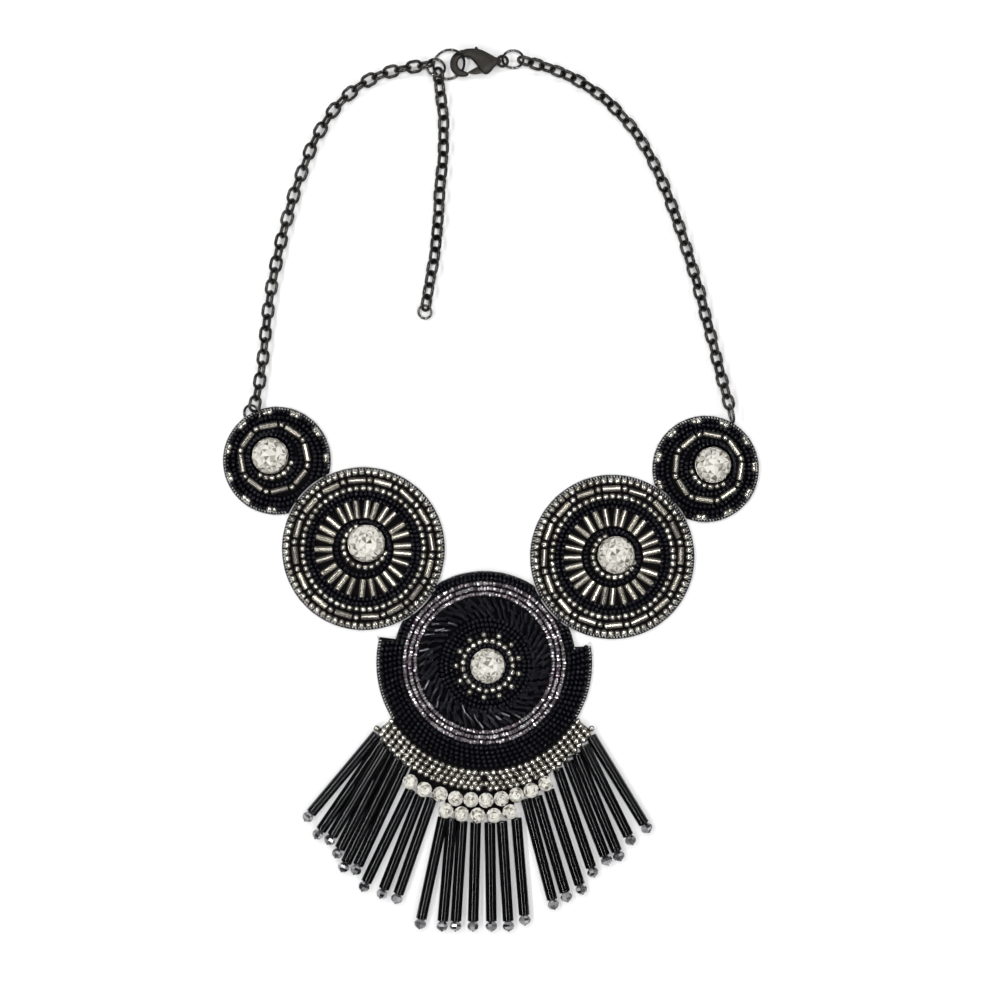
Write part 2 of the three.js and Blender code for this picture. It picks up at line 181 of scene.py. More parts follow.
def finish(name, colour, other, scale, low, high, bump=0.0, **plain):
    material = bpy.data.materials.new(name)
    material.use_nodes = True
    nodes, links = material.node_tree.nodes, material.node_tree.links
    shader = nodes["Principled BSDF"]
    change = use_group(material, tint_group, Colour=(*colour, 1), Other_colour=(*other, 1))
    grain = use_group(material, grain_group, Scale=scale, Low=low, High=high)
    links.new(change.outputs["Colour"], shader.inputs["Base Color"])
    links.new(grain.outputs["Value"], shader.inputs["Roughness"])
    if bump:
        relief = nodes.new("ShaderNodeBump")
        relief.inputs["Distance"].default_value = bump
        links.new(grain.outputs["Height"], relief.inputs["Height"])
        links.new(relief.outputs["Normal"], shader.inputs["Normal"])
    for label, value in plain.items():
        shader.inputs[label.replace("_", " ")].default_value = value
    return material


black_glass = finish(
    "black_glass", (0.001, 0.001, 0.002), (0.003, 0.003, 0.006), 1500, 0.01, 0.05, Specular_IOR_Level=0.2
)
tube_glass = finish("black_tube_glass", (0.0006, 0.0006, 0.001), (0.0015, 0.0015, 0.002), 500, 0.0, 0.01)
pewter = finish("pewter_glass", (0.62, 0.605, 0.555), (0.27, 0.255, 0.22), 1200, 0.1, 0.24, Metallic=0.88)
satin = finish("satin_bugle", (0.40, 0.38, 0.32), (0.17, 0.155, 0.14), 700, 0.15, 0.28, Metallic=0.78)
mauve = finish("mauve_silver", (0.80, 0.77, 0.79), (0.15, 0.11, 0.14), 1200, 0.12, 0.26, Metallic=0.8)
# The smoky glass is near black; its pale facets are painted glints, chosen facet by facet.
smoke = finish(
    "smoky_glass", (0.015, 0.015, 0.02), (0.84, 0.84, 0.86), 800, 0.01, 0.04, IOR=1.52, Transmission_Weight=0.45
)
felt_finish = finish("pale_felt", (0.44, 0.435, 0.42), (0.36, 0.355, 0.34), 2600, 0.85, 1.0, 0.0004)
ground_finish = finish(
    "dark_ground", (0.004, 0.0035, 0.004), (0.007, 0.006, 0.006), 2600, 0.8, 1.0, 0.0002,
    Specular_IOR_Level=0.05,
)
stitch_finish = finish("silver_thread", (0.88, 0.88, 0.87), (0.3, 0.3, 0.3), 3000, 0.25, 0.5, Metallic=0.3)
dark_thread = finish("dark_thread", (0.02, 0.02, 0.022), (0.05, 0.05, 0.05), 3000, 0.4, 0.6)
gunmetal = finish(
    "gunmetal", (0.022, 0.02, 0.019), (0.05, 0.046, 0.042), 500, 0.14, 0.28, 0.00001, Metallic=0.85
)
ring_wire = finish("ring_wire", (0.12, 0.115, 0.11), (0.2, 0.19, 0.18), 500, 0.06, 0.14, Metallic=0.92)
satin_plate = finish(
    "satin_gunmetal", (0.014, 0.0125, 0.0105), (0.02, 0.018, 0.015), 2200, 0.3, 0.5, 0.00002, Metallic=0.85
)
cup_metal = finish("cup_metal", (0.28, 0.26, 0.23), (0.5, 0.47, 0.42), 900, 0.15, 0.35, Metallic=1.0)
# Crystal and foil keep their own warm tone, but their split into near-white and dark facets is painted glints
# and painted dark reflections.
foil = finish("champagne_foil", (1.0, 0.96, 0.86), (0.26, 0.22, 0.16), 900, 0.06, 0.14, Metallic=0.35)
crystal = finish(
    "crystal", (0.98, 0.965, 0.89), (0.13, 0.105, 0.07), 900, 0.0, 0.02, IOR=1.56, Transmission_Weight=0.25
)
floor_finish = finish("floor", (0.86, 0.86, 0.86), (0.84, 0.84, 0.84), 12, 0.7, 0.85)
print("finishes:", len(bpy.data.materials))

# %% [markdown]
# The table under the necklace is one wide pale sheet.

# %% Floor
floor_bm = bmesh.new()
bmesh.ops.create_grid(floor_bm, x_segments=1, y_segments=1, size=3)
floor_mesh = bpy.data.meshes.new("floor")
floor_bm.to_mesh(floor_mesh)
floor_bm.free()
floor_mesh.materials.append(floor_finish)
add_object("floor", floor_mesh)

# %% [markdown]
# Every piece ends in the same way. It is modelled in millimetres, merged, turned right side out, brought to
# metres, given its finish and the body it rides on, and the CAD solids it stands for are hidden. Beads come in
# thousands, so one bead is modelled once as a template and its arrays are copied to every place, each copy
# with its own tint.

# %% Helpers that finish a piece
BODY = "necklace"
chance = random.Random(7)


def to_mesh(name, bm, smooth=True, merge=1e-4):
    bmesh.ops.remove_doubles(bm, verts=bm.verts, dist=merge)
    bmesh.ops.recalc_face_normals(bm, faces=bm.faces)
    for face in bm.faces:
        face.smooth = smooth
    mesh = bpy.data.meshes.new(name)
    bm.to_mesh(mesh)
    bm.free()
    return mesh


def add_piece(name, mesh, materials, stands_for=(), body=BODY):
    mesh.transform(Matrix.Scale(SCALE, 4))
    for material in materials if isinstance(materials, list) else [materials]:
        mesh.materials.append(material)
    piece = add_object(name, mesh)
    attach(piece, body)
    if stands_for:
        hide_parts(*stands_for)
    print(f"{name}: {len(mesh.polygons)} faces")
    return piece


def paint_facet_glints(mesh):
    """Gives every facet its own tint, most of them light: painted glints and painted dark reflections of the
    cut.
    """
    attribute = mesh.attributes.new("tint", "FLOAT", "FACE")
    attribute.data.foreach_set("value", [chance.random() ** 1.9 for _ in mesh.polygons])


def read_array(items, key, width=1, kind=np.int32):
    values = np.empty(len(items) * width, dtype=kind)
    items.foreach_get(key, values)
    return values


def repeat(name, template, places, painted_facets=False):
    """Copies a small mesh to every place (a matrix) as one mesh, with a random tint for each copy, or for each
    face as painted glints and painted dark reflections.
    """
    count = len(places)
    points = read_array(template.vertices, "co", 3, np.float64).reshape(-1, 3)
    corners = read_array(template.loops, "vertex_index")
    starts = read_array(template.polygons, "loop_start")
    slots = read_array(template.polygons, "material_index")
    smooth = read_array(template.polygons, "use_smooth", kind=bool)
    frames = np.array([list(map(list, place)) for place in places])
    moved = np.einsum("nij,vj->nvi", frames[:, :3, :3], points) + frames[:, None, :3, 3]
    order = np.arange(count, dtype=np.int32)[:, None]
    mesh = bpy.data.meshes.new(name)
    mesh.vertices.add(count * len(points))
    mesh.loops.add(count * len(corners))
    mesh.polygons.add(count * len(starts))
    for items, key, values in (
        (mesh.vertices, "co", moved.ravel()),
        (mesh.loops, "vertex_index", (corners + order * len(points)).ravel()),
        (mesh.polygons, "loop_start", (starts + order * len(corners)).ravel()),
        (mesh.polygons, "material_index", np.tile(slots, count)),
        (mesh.polygons, "use_smooth", np.tile(smooth, count)),
    ):
        items.foreach_set(key, values)
    mesh.update(calc_edges=True)
    if painted_facets:
        paint_facet_glints(mesh)
        return mesh
    tints = np.array([chance.random() for _ in places], dtype=np.float32)
    attribute = mesh.attributes.new("tint", "FLOAT", "POINT")
    attribute.data.foreach_set("value", np.repeat(tints, len(points)))
    return mesh


def section(bm, segments, radius, axis, out, capped=False):
    """A small circle moved away from the axis that it will be spun about."""
    made = bmesh.ops.create_circle(
        bm, cap_ends=capped, segments=segments, radius=radius, matrix=Matrix.Rotation(math.pi / 2, 4, axis)
    )["verts"]
    bmesh.ops.translate(bm, verts=made, vec=out)
    return made


def curve_point(a, b, c, d, t):
    """A point of the Catmull-Rom curve between b and c; a and d are the points before and after them."""
    return 0.5 * (2 * b + (c - a) * t + (2 * a - 5 * b + 4 * c - d) * t**2 + (3 * b - a - 3 * c + d) * t**3)


def thicken(bm, depth, softness):
    """Gives a flat face a thickness upwards and breaks the edges of its two outlines."""
    sides = bmesh.ops.extrude_face_region(bm, geom=bm.faces[:])
    raised = [item for item in sides["geom"] if isinstance(item, bmesh.types.BMVert)]
    bmesh.ops.translate(bm, verts=raised, vec=(0, 0, depth))
    rims = [edge for edge in bm.edges if any(len(face.verts) > 4 for face in edge.link_faces)]
    bmesh.ops.bevel(
        bm, geom=rims, offset=softness, segments=3, profile=0.5, affect="EDGES", material=-1, clamp_overlap=True
    )


def place(x, y, z, turn=0.0, size=1.0, lift=0.0, roll=0.0):
    """A matrix that puts a template at (x, y, z), its X axis turned from +X and lifted, in degrees."""
    spin = Matrix.Rotation(math.radians(turn), 4, "Z") @ Matrix.Rotation(math.radians(-lift), 4, "Y")
    spin = spin @ Matrix.Rotation(math.radians(roll), 4, "X")
    return Matrix.Translation((x, y, z)) @ spin @ Matrix.Scale(size, 4)


# %% [markdown]
# A bead is a turned shape: a half outline is spun about the thread that runs through it. A seed bead is a
# short rounded barrel, a bugle a straight length of glass tube with broken edges, and a cut bead a barrel
# with six flat sides. All lie along X, with their hole on the axis. The outline is a closed loop, so that
# the hole is real.

# %% Bead templates
FACE_ORDER = Vector((1.0, 0.31, 0.77))  # faces are numbered along this direction, so that tints repeat each run


def turned(name, outline, steps, smooth=True, closed=True):
    """Spins an outline of (along, out) points about the X axis."""
    bm = bmesh.new()
    corners = [bm.verts.new((along, 0, out)) for along, out in outline]
    edges = [bm.edges.new(pair) for pair in zip(corners, corners[1:])]
    if closed:
        edges.append(bm.edges.new((corners[-1], corners[0])))
    bmesh.ops.spin(
        bm, geom=corners + edges, axis=(1, 0, 0), cent=(0, 0, 0), angle=math.tau, steps=steps, use_merge=True
    )
    bmesh.ops.remove_doubles(bm, verts=bm.verts, dist=1e-4)
    bm.faces.sort(key=lambda face: face.calc_center_median().dot(FACE_ORDER))
    return to_mesh(name, bm, smooth)


def seed_outline(length, radius, hole=0.34):
    half = length / 2
    return [
        (-half * 0.9, radius * hole), (-half, radius * 0.62), (-half * 0.55, radius * 0.93), (0, radius),
        (half * 0.55, radius * 0.93), (half, radius * 0.62), (half * 0.9, radius * hole),
    ]


def tube_outline(length, radius, broken=0.12, hole=0.45):
    half = length / 2
    return [
        (-half, radius * hole), (-half, radius - broken), (-half + broken, radius),
        (-half + 2 * broken, radius), (half - 2 * broken, radius),
        (half - broken, radius), (half, radius - broken), (half, radius * hole),
    ]


BLACK_SEED = {"length": 1.16, "radius": 0.76}
SILVER_SEED = {"length": 1.6, "radius": 0.88}
CUT_BEAD = {"length": 0.82, "radius": 0.6}
BUGLE = {"length": 5.0, "radius": 0.88}
black_seed = turned("black_seed", seed_outline(**BLACK_SEED), 8)
silver_seed = turned("silver_seed", seed_outline(**SILVER_SEED), 9)
cut_bead = turned("cut_bead", seed_outline(**CUT_BEAD), 6, smooth=False)
bugle = turned("bugle", tube_outline(**BUGLE), 12)
short_bugle = turned("short_bugle", tube_outline(3.0, 0.7), 8)
print("seed bead:", len(black_seed.polygons), "faces; bugle:", len(bugle.polygons), "faces")

# %% [markdown]
# The discs are laid out about their own centres. A row of beads is a ring or an arc, walked bead by bead
# along its circumference, each turned to follow the thread. Hand sewing is never exact, so each bead is
# nudged a little. A dome of a third of a millimetre lifts the middle of each disc, as the padding of
# stitches does.

# %% Disc tables and row helpers
DISCS = {  # centre, felt radius, stone centre, stone radius
    "small_left": {"centre": (-59.9, 8.5), "radius": 15.1, "stone": (-61.6, 9.8), "stone_radius": 4.75},
    "medium_left": {"centre": (-35.7, -16.1), "radius": 22.8, "stone": (-34.8, -14.6), "stone_radius": 4.9},
    "centre": {"centre": (-1.9, -48.0), "radius": 25.7, "stone": (-0.9, -48.8), "stone_radius": 4.6},
    "medium_right": {"centre": (33.9, -18.4), "radius": 23.0, "stone": (34.9, -17.8), "stone_radius": 4.9},
    "small_right": {"centre": (60.0, 6.2), "radius": 14.9, "stone": (61.9, 7.3), "stone_radius": 4.7},
}
COVERING = ("medium_left", "medium_right")  # these two lie over their neighbours
GROUND_TOP = 1.42
CROWN = 0.34
BEAD_MARGIN = 0.35  # beads keep this clear of a disc that lies over them
BUGLE_MARGIN = 0.8
SILVER_PITCH = 1.9
BLACK_PITCH = 1.23
SILVER_RADIUS = SILVER_SEED["radius"]
BLACK_RADIUS = BLACK_SEED["radius"]
SILVER = (SILVER_PITCH, SILVER_RADIUS)
BLACK = (BLACK_PITCH, BLACK_RADIUS)


def around(middle, radius, degrees):
    angle = math.radians(degrees)
    return middle[0] + radius * math.cos(angle), middle[1] + radius * math.sin(angle)


def bead_place(disc, x, y, turn, radius, nudge=0.06, size_spread=0.05, lift=0.0):
    """The place of one bead that lies on a disc's ground, on its low dome."""
    entry = DISCS[disc]
    out = math.dist((x, y), entry["centre"]) / entry["radius"]
    z = GROUND_TOP + radius + CROWN * max(0.0, 1 - out * out)
    return place(
        x + chance.uniform(-nudge, nudge), y + chance.uniform(-nudge, nudge), z,
        turn + chance.uniform(-5, 5), 1 + chance.uniform(-size_spread, size_spread),
        lift + chance.uniform(-3, 3), chance.uniform(0, 360),
    )


def covered(disc, x, y, margin):
    """True where a medium disc lies over this point of another disc."""
    others = [DISCS[name] for name in COVERING if name != disc]
    return any(math.dist((x, y), other["centre"]) < other["radius"] + margin for other in others)


def row(disc, middle, radius, pitch, bead_radius, start=0.0, sweep=360.0, skip=None, **jitter):
    """Beads along a ring or arc about a middle point."""
    length = math.radians(sweep) * radius
    count = max(1, round(length / pitch))
    places = []
    for index in range(count):
        angle = start + sweep * (index + 0.5 * (sweep < 360)) / count
        x, y = around(middle, radius, angle)
        if covered(disc, x, y, BEAD_MARGIN) or (skip and skip(angle)):
            continue
        places.append(bead_place(disc, x, y, angle + 90, bead_radius, **jitter))
    return places


def bugle_ring(disc, middle, count, start, radius, seed_radius, seed_turn):
    """Places of bugles laid end to end in a ring, and of a silver seed at each joint."""
    bugles, seeds = [], []
    for index in range(count):
        degrees = start + 360 * index / count
        x, y = around(middle, radius, degrees)
        bugles.append(bead_place(disc, x, y, degrees + 90, BUGLE["radius"], size_spread=0.02))
        x, y = around(middle, seed_radius, degrees + 180 / count)
        seeds.append(bead_place(disc, x, y, degrees + seed_turn, SILVER_RADIUS))
    return bugles, seeds


def add_beads(disc, silver, black, bugles):
    """The beads of a side disc as three pieces; the black ones stand for the CAD solid of its beadwork."""
    black_mesh = repeat("black", black_seed, black)
    add_piece(f"black_seeds_{disc}", black_mesh, black_glass, [f"beadwork_{disc}"])
    add_piece(f"silver_seeds_{disc}", repeat("silver", silver_seed, silver), pewter)
    add_piece(f"bugles_{disc}", repeat("bugles", bugle, bugles), satin)


for disc, entry in DISCS.items():
    low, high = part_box(f"crystal_{disc}")
    framed = [round(value / SCALE, 2) for value in ((low + high) / 2)[:2]]
    print(disc, "stone in the frame:", framed, "table:", entry["stone"])

# %% [markdown]
# Under the beads lies felt, cut round, and on it a thin dark ground that the needle goes through. The felt
# starts as a circle, whose points are drawn out to the collar, the band and the stone rows of the middle
# disc, or pushed back where a medium disc lies over it. It is then given its thickness with an extrusion
# and a soft edge with a bevel.

# %% Felt and ground
FELT_THICKNESS = 1.3
OUTLINE_POINTS = 288
GROUND_INSET = 0.08
STEPS = [  # the middle felt reaches these radii between these angles: collar, band and two stone rows
    (30.2, 166, 370), (35.4, 212.4, 328.4), (38.9, 236, 299), (42.3, 254.5, 281.5),
]
OPEN_RIM = 31  # beyond this radius the beads or stones hide the rim
COVER_GAP = 0.3  # cloth keeps this clear of a disc that lies over it


def felt_reach(disc, degrees, inset):
    """How far the cloth reaches from its disc's centre in a direction."""
    reach = DISCS[disc]["radius"] - inset
    if disc == "centre":
        for radius, start, end in STEPS:
            if start <= (degrees - start) % 360 + start <= end:
                reach = max(reach, radius - (inset if radius < OPEN_RIM else -inset))
    return reach


def outline_point(disc, degrees, inset):
    entry = DISCS[disc]
    point = Vector(around(entry["centre"], felt_reach(disc, degrees, inset), degrees))
    for name in COVERING:
        other = DISCS[name]
        away = point - Vector(other["centre"])
        edge = other["radius"] + COVER_GAP
        if name != disc and away.length < edge:
            point = Vector(other["centre"]) + away.normalized() * edge
    return point


def cloth_disc(name, disc, inset, bottom, top, softness):
    bm = bmesh.new()
    circle = bmesh.ops.create_circle(bm, cap_ends=True, segments=OUTLINE_POINTS, radius=1)
    for vert in circle["verts"]:
        degrees = math.degrees(math.atan2(vert.co.y, vert.co.x))
        vert.co = (*outline_point(disc, degrees, inset), bottom)
    thicken(bm, top - bottom, softness)
    return to_mesh(name, bm, merge=1e-3)


for disc in DISCS:
    felt = cloth_disc(f"felt_cloth_{disc}", disc, 0, 0, FELT_THICKNESS, 0.35)
    add_piece(f"felt_cloth_{disc}", felt, felt_finish, [f"felt_{disc}"])
    ground = cloth_disc(f"ground_{disc}", disc, GROUND_INSET, FELT_THICKNESS - 0.25, GROUND_TOP, 0.05)
    add_piece(f"ground_{disc}", ground, ground_finish)

# %% [markdown]
# The rim is oversewn with a silvery thread, which comes up through the cloth, bends over the edge and goes down,
# leaning a little, all the way round. One stitch is a small circle spun through an arc about the rim, and
# its copies are spaced by walking along the outline. None is sewn where a row of stones or beads hides the
# edge.

# %% Stitches over the rims
STITCH_PITCH = 0.84
STITCH_WIRE = 0.15
STITCH_REACH = 0.98
STITCH_SETBACK = 0.78
STITCH_HEIGHT = 0.53
STITCH_MARGIN = 0.8


def stitch_template():
    """A short thread that bends over an edge: up over the felt on -X, and down outside it."""
    bm = bmesh.new()
    geometry = section(bm, 5, STITCH_WIRE, "Y", (0, 0, STITCH_REACH)) + bm.edges[:]
    bmesh.ops.spin(
        bm, geom=geometry, axis=(0, 1, 0), cent=(0, 0, 0), angle=math.radians(115), steps=5, use_merge=False
    )
    bmesh.ops.contextual_create(bm, geom=[edge for edge in bm.edges if edge.is_boundary])
    return to_mesh("stitch", bm)


stitch = stitch_template()
for disc in DISCS:
    places = []
    spot, walked, degrees = outline_point(disc, 0, 0), 0.0, 0.0
    while degrees < 360:
        degrees += 0.1
        step = outline_point(disc, degrees, 0)
        walked += (step - spot).length
        if walked >= STITCH_PITCH:
            outward = (step - spot).normalized()
            turn = math.degrees(math.atan2(outward.y, outward.x)) - 90 + chance.uniform(20, 42)
            at = step - Vector((outward.y, -outward.x)) * STITCH_SETBACK
            open_rim = math.dist(step, DISCS[disc]["centre"]) < OPEN_RIM
            if open_rim and not covered(disc, *step, STITCH_MARGIN):
                places.append(place(at.x, at.y, STITCH_HEIGHT, turn, 1 + chance.uniform(-0.04, 0.04)))
            walked = 0.0
        spot = step
    add_piece(f"rim_stitches_{disc}", repeat("stitches", stitch, places), stitch_finish)

# %% [markdown]
# The medium discs, from the stone outwards: a half moon of silver seeds, black seeds, a sunburst of satin
# bugles that stand in rough pairs, two black rows, a silver row, bugles laid end to end with a seed at each
# joint, and a silver row at the rim.

# %% Medium discs
SUNBURST = {
    "medium_left": [
        84.8, 73.7, 59.8, 48.8, 31.5, 20, 4.4, -6.5, -19.6, -34.9, -48.7, -63, -77, -91.3, -108, -122.3, -135.8,
        -148.9, -165.5, -178.8, 166, 153.5, 138.6, 122.9, 110.5, 99.5,
    ],
    "medium_right": [
        7.3, 19.7, 30.8, 47.5, 58.3, 74.4, 84.3, 99.1, 110.9, 124.9, 139.7, 154.1, 167.8, -179.5, -165.6, -152,
        -140.3, -127.6, -113.5, -101.6, -90, -75.9, -62, -48.7, -34, -22.1, -5,
    ],
}
ROUND_BUGLES = 16
ROUND_START = {"medium_left": 5.6, "medium_right": 0.8}
MOON_RADIUS, SUNBURST_RADIUS, ROUND_RADIUS = 6.0, 11.05, 19.1
MEDIUM_SILVER_ROWS = (16.9, 21.35)
MEDIUM_BLACK_ROWS = (7.5, 14.0, 15.35)


def medium_disc(disc):
    entry = DISCS[disc]
    centre, stone = entry["centre"], entry["stone"]
    middle = ((centre[0] + stone[0]) / 2, (centre[1] + stone[1]) / 2)
    silver = row(disc, middle, MOON_RADIUS, *SILVER, 105, 245)
    for radius in MEDIUM_SILVER_ROWS:
        silver += row(disc, centre, radius, *SILVER)
    black = row(disc, stone, MOON_RADIUS + 0.1, *BLACK, -12, 118)
    for radius in MEDIUM_BLACK_ROWS:
        black += row(disc, centre, radius, *BLACK)
    rays = []
    for degrees in SUNBURST[disc]:
        x, y = around(centre, SUNBURST_RADIUS, degrees)
        rays.append(bead_place(disc, x, y, degrees + chance.uniform(-2, 2), BUGLE["radius"], size_spread=0.02))
    ring, joints = bugle_ring(
        disc, centre, ROUND_BUGLES, ROUND_START[disc], ROUND_RADIUS, ROUND_RADIUS + 0.15, 90
    )
    return silver + joints, black, rays + ring


for disc in COVERING:
    add_beads(disc, *medium_disc(disc))

# %% [markdown]
# The small discs are simpler: silver seeds part of the way round the stone, black seeds, an eight-sided
# frame of bugles with a seed at each corner, two black rows, and an edge row in which pairs of silver seeds
# interrupt the black. The frame isn't quite on the disc's centre, so a row of filler seeds closes the gap
# on the wider side.

# %% Small discs
FRAME_SIDES = 8
FRAME_RADIUS = 9.1
CORNER_RADIUS = 9.5
SMALL_BLACK_ROWS = (10.75, 12.2)
EDGE_SLOTS = 66
EDGE_SETBACK = 1.4
SMALL = {  # middle of the frame, angle of its first bugle, silver arc about the stone
    "small_left": {"middle": (-60.6, 9.2), "first": 9.6, "arc": (-127, 117)},
    "small_right": {"middle": (60.7, 6.6), "first": -7.2, "arc": (-170, 117)},
}


def small_disc(disc):
    entry, plan = DISCS[disc], SMALL[disc]
    centre, stone, middle = entry["centre"], entry["stone"], plan["middle"]
    arc_start, arc_sweep = plan["arc"]
    silver = row(disc, stone, 6.1, *SILVER, arc_start, arc_sweep)
    black = row(disc, stone, 6.05, *BLACK, arc_start + arc_sweep, 360 - arc_sweep)
    black += row(disc, middle, 7.55, *BLACK)
    filler = row(disc, middle, 6.2, *BLACK)
    black += [spot for spot in filler if math.dist(spot.translation.xy, stone) > 7.2]
    for radius in SMALL_BLACK_ROWS:
        black += row(disc, centre, radius, *BLACK)
    bugles, corners = bugle_ring(disc, middle, FRAME_SIDES, plan["first"], FRAME_RADIUS, CORNER_RADIUS, 112)
    silver += corners
    for index in range(EDGE_SLOTS):
        degrees = 360 * index / EDGE_SLOTS
        x, y = around(centre, entry["radius"] - EDGE_SETBACK, degrees)
        if covered(disc, x, y, BEAD_MARGIN):
            continue
        chosen, radius = (silver, SILVER_RADIUS) if index % 6 < 2 else (black, BLACK_RADIUS)
        chosen.append(bead_place(disc, x, y, degrees + 90, radius))
    bugles = [spot for spot in bugles if not covered(disc, *spot.translation.xy, BUGLE_MARGIN)]
    return silver, black, bugles


for disc in SMALL:
    add_beads(disc, *small_disc(disc))

# %% [markdown]
# The middle disc is mostly black: a ring of silver seeds and a ring of spaced ones about the stone, black
# rows, a swirl of short slanted bugles, three rows of mauve cut beads, and two black rows along its upper
# edge.

# %% Middle disc
SPACED_SILVERS = 13
SPACED_START = 14
SPACED_STEP = 27.7  # degrees
SPACED_PITCH = 55.6 / SPACED_SILVERS
CENTRE_BLACK_ROWS = (10.2, 11.6, 12.9)
CENTRE_EDGE_ROWS = (23.75, 24.9)
SWIRL = ((14.0, 44), (15.6, 48), (17.2, 54))  # radius and count of each ring
SWIRL_SLANT, SWIRL_HEIGHT, SWIRL_LIFT = 38, 0.68, 4  # degrees, mm above the ground, degrees
MAUVE_ROWS = (19.3, 20.8, 22.3)
MAUVE_PITCH = 0.9


def beside_silver(degrees):
    """True near a spaced silver seed, where the black row leaves room for it."""
    return (degrees - SPACED_START + 8) % SPACED_STEP < 16


def centre_disc():
    disc = "centre"
    entry = DISCS[disc]
    centre, stone = entry["centre"], entry["stone"]
    silver = row(disc, stone, 6.95, *SILVER)
    silver += row(disc, stone, 8.85, SPACED_PITCH, SILVER_RADIUS, SPACED_START)
    black = row(disc, stone, 5.6, BLACK_PITCH, BLACK_RADIUS * 0.9)
    black += row(disc, stone, 8.75, *BLACK, skip=beside_silver)
    for radius in CENTRE_BLACK_ROWS:
        black += row(disc, stone, radius, *BLACK)
    for radius in CENTRE_EDGE_ROWS:
        black += row(disc, centre, radius, *BLACK, 10, 156)
    slanted = []
    for radius, count in SWIRL:
        for index in range(count):
            degrees = 360 * (index + chance.uniform(-0.2, 0.2)) / count
            x, y = around(centre, radius, degrees)
            slant = degrees + SWIRL_SLANT + chance.uniform(-12, 12)
            slanted.append(bead_place(disc, x, y, slant, SWIRL_HEIGHT, lift=SWIRL_LIFT))
    mauve_beads = []
    for radius in MAUVE_ROWS:
        mauve_beads += row(disc, centre, radius, MAUVE_PITCH, CUT_BEAD["radius"], nudge=0.1, size_spread=0.12)
    return silver, black, slanted, mauve_beads


silver, black, slanted, mauve_beads = centre_disc()
black_mesh = repeat("black", black_seed, black)
add_piece("black_seeds_centre", black_mesh, black_glass, ["beadwork_centre"])
add_piece("silver_seeds_centre", repeat("silver", silver_seed, silver), pewter)
add_piece("swirl_bugles", repeat("swirl", short_bugle, slanted), black_glass)
add_piece("mauve_rows", repeat("mauve", cut_bead, mauve_beads), mauve)

# %% [markdown]
# The collar's beads stand in spokes, each spoke a stitch of five beads across it, so the rows run outwards
# instead of round. The band below it has four rows of silver seeds, set like bricks and turned towards the
# middle.

# %% Collar and band
COLLAR_START, COLLAR_END = 166.5, 369.5
COLLAR_PITCH, COLLAR_COUNTED_AT = 1.57, 27.6  # from spoke to spoke, at this radius
COLLAR_ROWS = (23.8, 25.05, 26.3, 27.5, 28.7)
COLLAR_LEAN = 0.5  # degrees that a spoke turns for each millimetre outwards
COLLAR_MARGIN = 0.75
BAND_ROWS = (30.75, 32.3, 33.75, 35.1)
BAND_MIDDLE = 270.0
BAND_HALF = 58.5
BAND_SLANT = 35


def collar_places():
    centre = DISCS["centre"]["centre"]
    count = round(math.radians(COLLAR_END - COLLAR_START) * COLLAR_COUNTED_AT / COLLAR_PITCH)
    places = []
    for spoke in range(count):
        degrees = COLLAR_START + (COLLAR_END - COLLAR_START) * (spoke + 0.5) / count
        for radius in COLLAR_ROWS:
            x, y = around(centre, radius, degrees + (radius - 27) * COLLAR_LEAN)
            if not covered("centre", x, y, COLLAR_MARGIN):
                places.append(bead_place("centre", x, y, degrees, BLACK_RADIUS))
    return places


def band_places():
    centre = DISCS["centre"]["centre"]
    places = []
    for side in (-1, 1):
        for line, radius in enumerate(BAND_ROWS):
            count = round(math.radians(BAND_HALF) * radius / SILVER_PITCH)
            for index in range(count):
                offset = math.degrees((index + 0.35 + 0.5 * (line % 2)) * SILVER_PITCH / radius)
                degrees = BAND_MIDDLE + side * offset
                x, y = around(centre, radius, degrees)
                if offset < BAND_HALF + 1:
                    turn = degrees + 90 - side * BAND_SLANT
                    places.append(bead_place("centre", x, y, turn, SILVER_RADIUS, nudge=0.1))
    return places


collar = collar_places()
band = band_places()
add_piece("collar_seeds", repeat("collar", black_seed, collar), black_glass, ["collar_beadwork"])
add_piece("band_seeds", repeat("band", silver_seed, band), pewter, ["band_beadwork"])
print("collar beads:", len(collar), "band beads:", len(band))

# %% [markdown]
# A foiled stone is cut glass with a mirror behind it: light goes in through the crown, comes back from the
# foil on the lower facets, and leaves through another crown facet. Its corners are a few rings of points,
# and a convex hull stretches flat facets over them, which an inset of the table and the poke operator split
# further. The upper facets are clear glass and the lower ones carry the foil. Each facet is also painted
# light or dark at random, as painted glints and painted dark reflections. The cup is a turned ring, and
# its four claws are copies of one bent bar.

# %% Cut stones
STONE_LEVELS = (2.0, 4.3, 4.55, 5.9)  # heights of the culet, girdle, top of the girdle, and table
RHINESTONE_SIDES = 12
CLAW_BEND, CLAW_TAPER, CLAW_MIDDLE = 0.52, 0.62, 4.75


